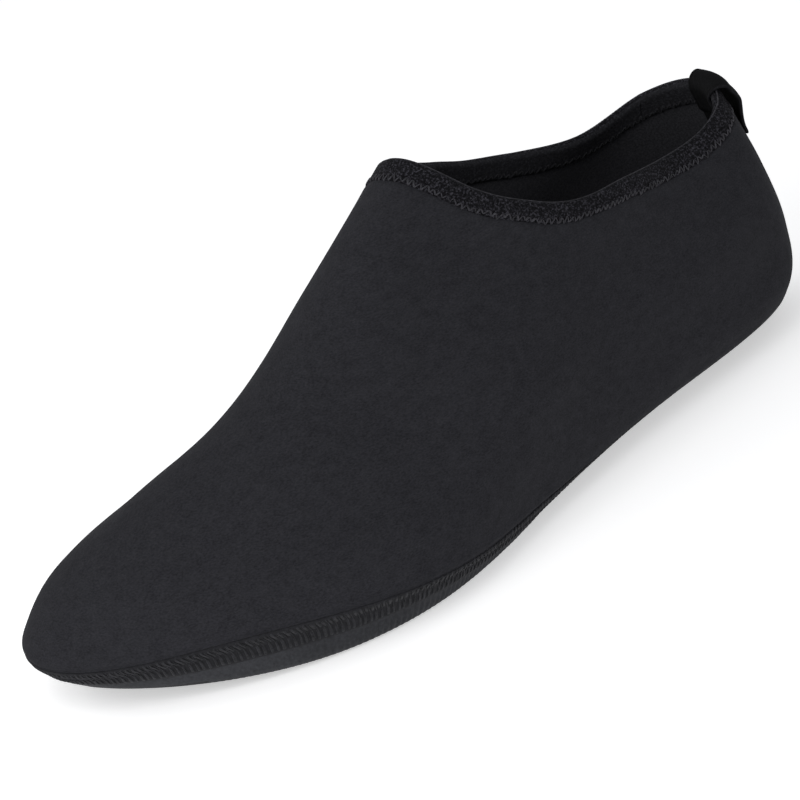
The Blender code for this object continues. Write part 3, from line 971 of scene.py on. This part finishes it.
def make_seam_band():
    """Ground strip of the seam, and the ladder of threads across it."""
    columns, length = even_turns(BAND_COLUMNS, 0)
    low, high = BAND_FOOT, BAND_FACE
    outline = [(-1.0, low), (-0.98, high * 0.8)]
    outline += [(reach, high) for reach in (-0.85, -0.5, -0.2, 0.0, 0.5, 0.9)]
    outline += [(reach, low) for reach in (1.0, 0.5, 0.0, -0.5)]
    outline = np.array(outline)
    piece = closed_ring("seam_band_ground", columns, outline, (band_finish,), across_band)
    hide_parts("seam_band")

    count = round(length / LADDER_PITCH)
    chance = np.random.default_rng(11)
    at, _ = even_turns(count, 0)
    pitch = 2 * math.pi / count
    tops = along(RUNG_TOPS, (1 - np.cos(at)) / 2)
    lift = high + LADDER_LIFT
    points, faces = [], []
    for shift, lean, foot, top_share, top_add, width, height in LADDER_ROWS:
        start = at + (shift + chance.uniform(-LADDER_SHIFTS, LADDER_SHIFTS, count)) * pitch
        head = tops * top_share + top_add + chance.uniform(-LADDER_STRAYS, LADDER_STRAYS, count)
        starts = (start, np.full(count, foot))
        ends = (start + lean * pitch, head)
        paths = thread_paths(across_band, starts, ends, LADDER_STEPS, lift, 0.0)
        made, quads = strands(paths, width * chance.uniform(*LADDER_WIDTHS, count), height)
        below = sum(len(block) for block in points)
        points.append(made)
        faces += [tuple(i + below for i in face) for face in quads]
    piece = add_mesh("seam_ladder_stitches", np.concatenate(points), faces, (ladder_finish,))


def cup_surface(columns, rings, steps):
    """Side rings of the sole and the rows across its tread: points, faces, where these begin."""
    count = len(columns)
    points = [sole_side(columns, np.zeros(count) + fall) for fall in rings]
    faces = [tuple(face) for face in ring_faces(len(rings), count)[:, ::-1].tolist()]
    edge = points[-1]
    half = count // 2
    first = (len(rings) - 1) * count
    share = np.arange(1, steps) / steps
    left = edge[1:half]
    right = edge[::-1][: half - 1]
    inner = left[:, None] * (1 - share[:, None]) + right[:, None] * share[:, None]
    start = len(rings) * count
    index = np.empty((half + 1, steps + 1), int)
    index[0], index[half] = first, first + half
    index[1:half, 0] = first + np.arange(1, half)
    index[1:half, steps] = first + count - np.arange(1, half)
    inner_count = (half - 1) * (steps - 1)
    index[1:half, 1:steps] = start + np.arange(inner_count).reshape(half - 1, steps - 1)
    for row in range(half):
        here, there = index[row], index[row + 1]
        for step in range(steps):
            corners = (here[step], there[step], there[step + 1], here[step + 1])
            faces.append(tuple(dict.fromkeys(int(i) for i in corners)))
    return np.concatenate(points + [inner.reshape(-1, 3)]), faces, start


def heel_first(count):
    """Even turns that start at the heel, left side first, so that left and right columns pair."""
    side = even_turns(2 * count, 0, 0.0)[0][: count + 1]
    side[0], side[-1] = 0.0, math.pi
    return np.concatenate([side, -side[1:-1][::-1]])


def make_outsole():
    """Thin rubber cup: fine ribs up its side, and shallow cross ribs under the tread."""
    columns = heel_first(OUTSOLE_COLUMNS)
    falls = np.linspace(*OUTSOLE_FALLS)
    rings = [seam_fall(columns, SEAM_GAP)] + list(falls)
    points, faces, start = cup_surface(columns, rings, OUTSOLE_STEPS)
    ribs = round(even_turns(2, 0)[1] / RIB_PITCH)
    rib = np.tile(np.cos(2 * math.pi * ribs * np.arange(len(columns)) / len(columns)), len(rings))
    share = np.repeat(np.concatenate([[0.0], falls]), len(columns))
    relief = np.zeros(len(points))
    fade = ease((share - BAND_FALL) / RIB_START_FADE) * ease((RIB_END - share) / RIB_END_FADE)
    relief[:start] = (rib - 1) / 2 * RIB_DEPTH * fade
    relief[:start] *= ease((RIB_TOE - points[:start, 0] / SHOE_LENGTH) / RIB_TOE_FADE)
    tread_rib = np.cos(2 * math.pi * points[start:, 0] / (2 * RIB_PITCH))
    relief[start:] = (tread_rib - 1) / 2 * RIB_DEPTH * TREAD_RIB_DEPTH

    # The tread's faces and the side's last rows under the toe take the darker copy: painted shade
    # and painted contact shadow
    middles = np.array([(points[face[0], 0] + points[face[2], 0]) / 2 for face in faces])
    row = np.arange(len(faces)) // len(columns)
    shaded_rows = TOE_SHADOW_ROWS * ease((middles / SHOE_LENGTH - TOE_SHADOW_START) / TOE_SHADOW_SPAN)
    dark = row >= len(falls) - np.round(shaded_rows)
    points, faces, inside, rims = shell(points, faces, SOLE_THICKNESS, relief)
    kinds = np.concatenate([dark.astype(int), np.ones(inside + rims, int)])
    piece = add_mesh("ribbed_outsole", points, faces, (rubber_finish, rubber_painted_shade_finish), kinds)
    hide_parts("outsole")


def make_insole():
    """Thin cloth liner that lies in the cup of the sole."""
    columns = heel_first(INSOLE_COLUMNS)
    points, faces, _ = cup_surface(columns, list(np.linspace(*INSOLE_FALLS)), INSOLE_STEPS)
    normals = surface_normals(points, faces)
    points = points - normals * (SOLE_THICKNESS + FIT_GAP)
    points, faces, _, _ = shell(points, faces, INSOLE_THICKNESS)
    piece = add_mesh("cloth_insole", points, faces, (insole_finish,))
    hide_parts("insole")


def make_tab():
    """Tape that straddles the binding at the heel, pressed to the wall at both feet."""
    gap = TAB_GAP
    inside = BINDING_INSIDE - BINDING_THICKNESS - gap
    below = BINDING_DROP + BINDING_THICKNESS
    crest = BINDING_CREST + BINDING_THICKNESS + TAB_STANDS
    path = [(TAB_DROP, -gap)]
    for drop in np.linspace(TAB_DROP, 0.0, TAB_OUTER_STEPS)[1:-1]:
        bow = mix(TAB_CREST_BOW, TAB_BOW, float(ease(drop / TAB_BOW_SPAN)))
        path.append((drop, gap + bow * float(ease(1 - drop / (TAB_FREE * TAB_DROP)))))
    path += arc_over(gap + TAB_CREST_BOW, inside, crest, TAB_CREST_STEPS)
    path += [(drop, inside) for drop in np.linspace(0.0, below, TAB_INNER_STEPS)[1:]]
    lining_face = -WALL - gap
    for share in np.linspace(0, 1, TAB_SETTLE_STEPS)[1:]:
        path.append((below + TAB_SETTLE * share, mix(inside, lining_face, float(ease(share)))))
    drops = np.linspace(below + TAB_SETTLE, TAB_DROP, TAB_FOOT_STEPS)[1:]
    path += [(drop, lining_face) for drop in drops]
    path = np.array(path)

    count = TAB_COLUMNS
    across = np.linspace(-0.5, 0.5, count)
    turn = []
    for drop in path[:, 0]:
        level = 1.0 - max(drop, 0.0) / pace(np.zeros(1), 1.0)
        sweep = skin(np.array([TURN_STEP]), level) - skin(np.zeros(1), level)
        turn.append((TAB_SHIFT + TAB_WIDTH * across) / (np.linalg.norm(sweep) / TURN_STEP))
    turn = np.concatenate(turn)
    drop, offset = (np.repeat(path[:, i], count) for i in range(2))
    settled = 1 - TAB_LEAN * (np.tile(across, len(path)) + 0.5)
    drop = np.where(drop < 0, drop * settled, drop)
    points, _ = on_collar(turn, drop, offset)
    faces = [tuple(face) for face in ring_faces(len(path), count, closed=False).tolist()]
    normals = surface_normals(points, faces)
    edge = np.tile(np.abs(across) * 2, len(path))
    selvedge = SELVEDGE_RIDGE[2] * bump(edge, *SELVEDGE_RIDGE[:2])
    selvedge -= SELVEDGE_FURROW[2] * bump(edge, *SELVEDGE_FURROW[:2])
    thinning = TAB_EDGE_THINNING * ease((edge - TAB_EDGE_START) / (1 - TAB_EDGE_START))
    points = points + normals * (TAB_THICKNESS * (1 - thinning))[:, None]
    # Faces along the near edge take the paler copy: painted highlight
    light = [k >= count - 2 for _ in range(len(path) - 1) for k in range(count - 1)]
    wall_under = TAB_THICKNESS * TAB_INNER_WALL
    points, faces, inside_faces, rims = shell(points, faces, wall_under, selvedge)
    kinds = np.concatenate([light, np.zeros(inside_faces), np.ones(rims)])
    piece = add_mesh("woven_pull_tab", points, faces, (tape_finish, tab_edge_highlight_finish), kinds)
    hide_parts("heel_pull_tab")


def make_stage():
    """Pale floor, soft lights and the photo's camera."""
    finish = Finish("pale_floor", 0.9, 0.0, 0.1)
    finish.shader.inputs["Base Color"].default_value = FLOOR_COLOUR
    finish.shader.inputs["Emission Color"].default_value = FLOOR_GLOW_COLOUR
    finish.shader.inputs["Emission Strength"].default_value = FLOOR_GLOW
    mesh = bpy.data.meshes.new("floor")
    sides = ((-1, -1), (1, -1), (1, 1), (-1, 1))
    corners = [(FLOOR_REACH * x, FLOOR_REACH * y, 0) for x, y in sides]
    mesh.from_pydata(corners, [], [(0, 1, 2, 3)])
    mesh.materials.append(finish.material)
    floor = bpy.data.objects.new("floor", mesh)
    bpy.context.scene.collection.objects.link(floor)

    world = bpy.data.worlds.new("studio")
    world.use_nodes = True
    sky = world.node_tree.nodes["Background"]
    sky.inputs["Color"].default_value = SKY_COLOUR
    sky.inputs["Strength"].default_value = SKY_STRENGTH
    bpy.context.scene.world = world
    bpy.context.scene.view_settings.view_transform = "Standard"

    for name, spot, size, power in LAMPS:
        lamp = bpy.data.lights.new(name, "AREA")
        lamp.size = size
        lamp.energy = power
        light = bpy.data.objects.new(name, lamp)
        light.location = spot
        light.rotation_mode = "QUATERNION"
        aim = Vector(LAMP_TARGET) - Vector(spot)
        light.rotation_quaternion = aim.to_track_quat("-Z", "Y")
        bpy.context.scene.collection.objects.link(light)

    azimuth = math.radians(CAMERA_AZIMUTH)
    elevation = math.radians(CAMERA_ELEVATION)
    roll = math.radians(CAMERA_ROLL)
    flat = math.cos(elevation)
    look = -Vector((math.sin(azimuth) * flat, math.cos(azimuth) * flat, math.sin(elevation)))
    right = Vector((-math.cos(azimuth), math.sin(azimuth), 0.0))
    up = right.cross(look)
    rolled_right = right * math.cos(roll) + up * math.sin(roll)
    rolled_up = up * math.cos(roll) - right * math.sin(roll)
    matrix = Matrix((rolled_right, rolled_up, -look)).transposed().to_4x4()
    matrix.translation = Vector(CAMERA_TARGET) + Vector(origin) - look * CAMERA_DISTANCE
    data = bpy.data.cameras.new("photo_view")
    data.sensor_width = CAMERA_SENSOR
    data.lens = CAMERA_LENS
    data.shift_x, data.shift_y = CAMERA_SHIFT
    camera = bpy.data.objects.new("photo_view", data)
    camera.matrix_world = matrix
    bpy.context.scene.collection.objects.link(camera)
    bpy.context.scene.camera = camera


make_upper()
make_binding()
make_zigzag()
make_seam_band()
make_outsole()
make_insole()
make_tab()
make_stage()
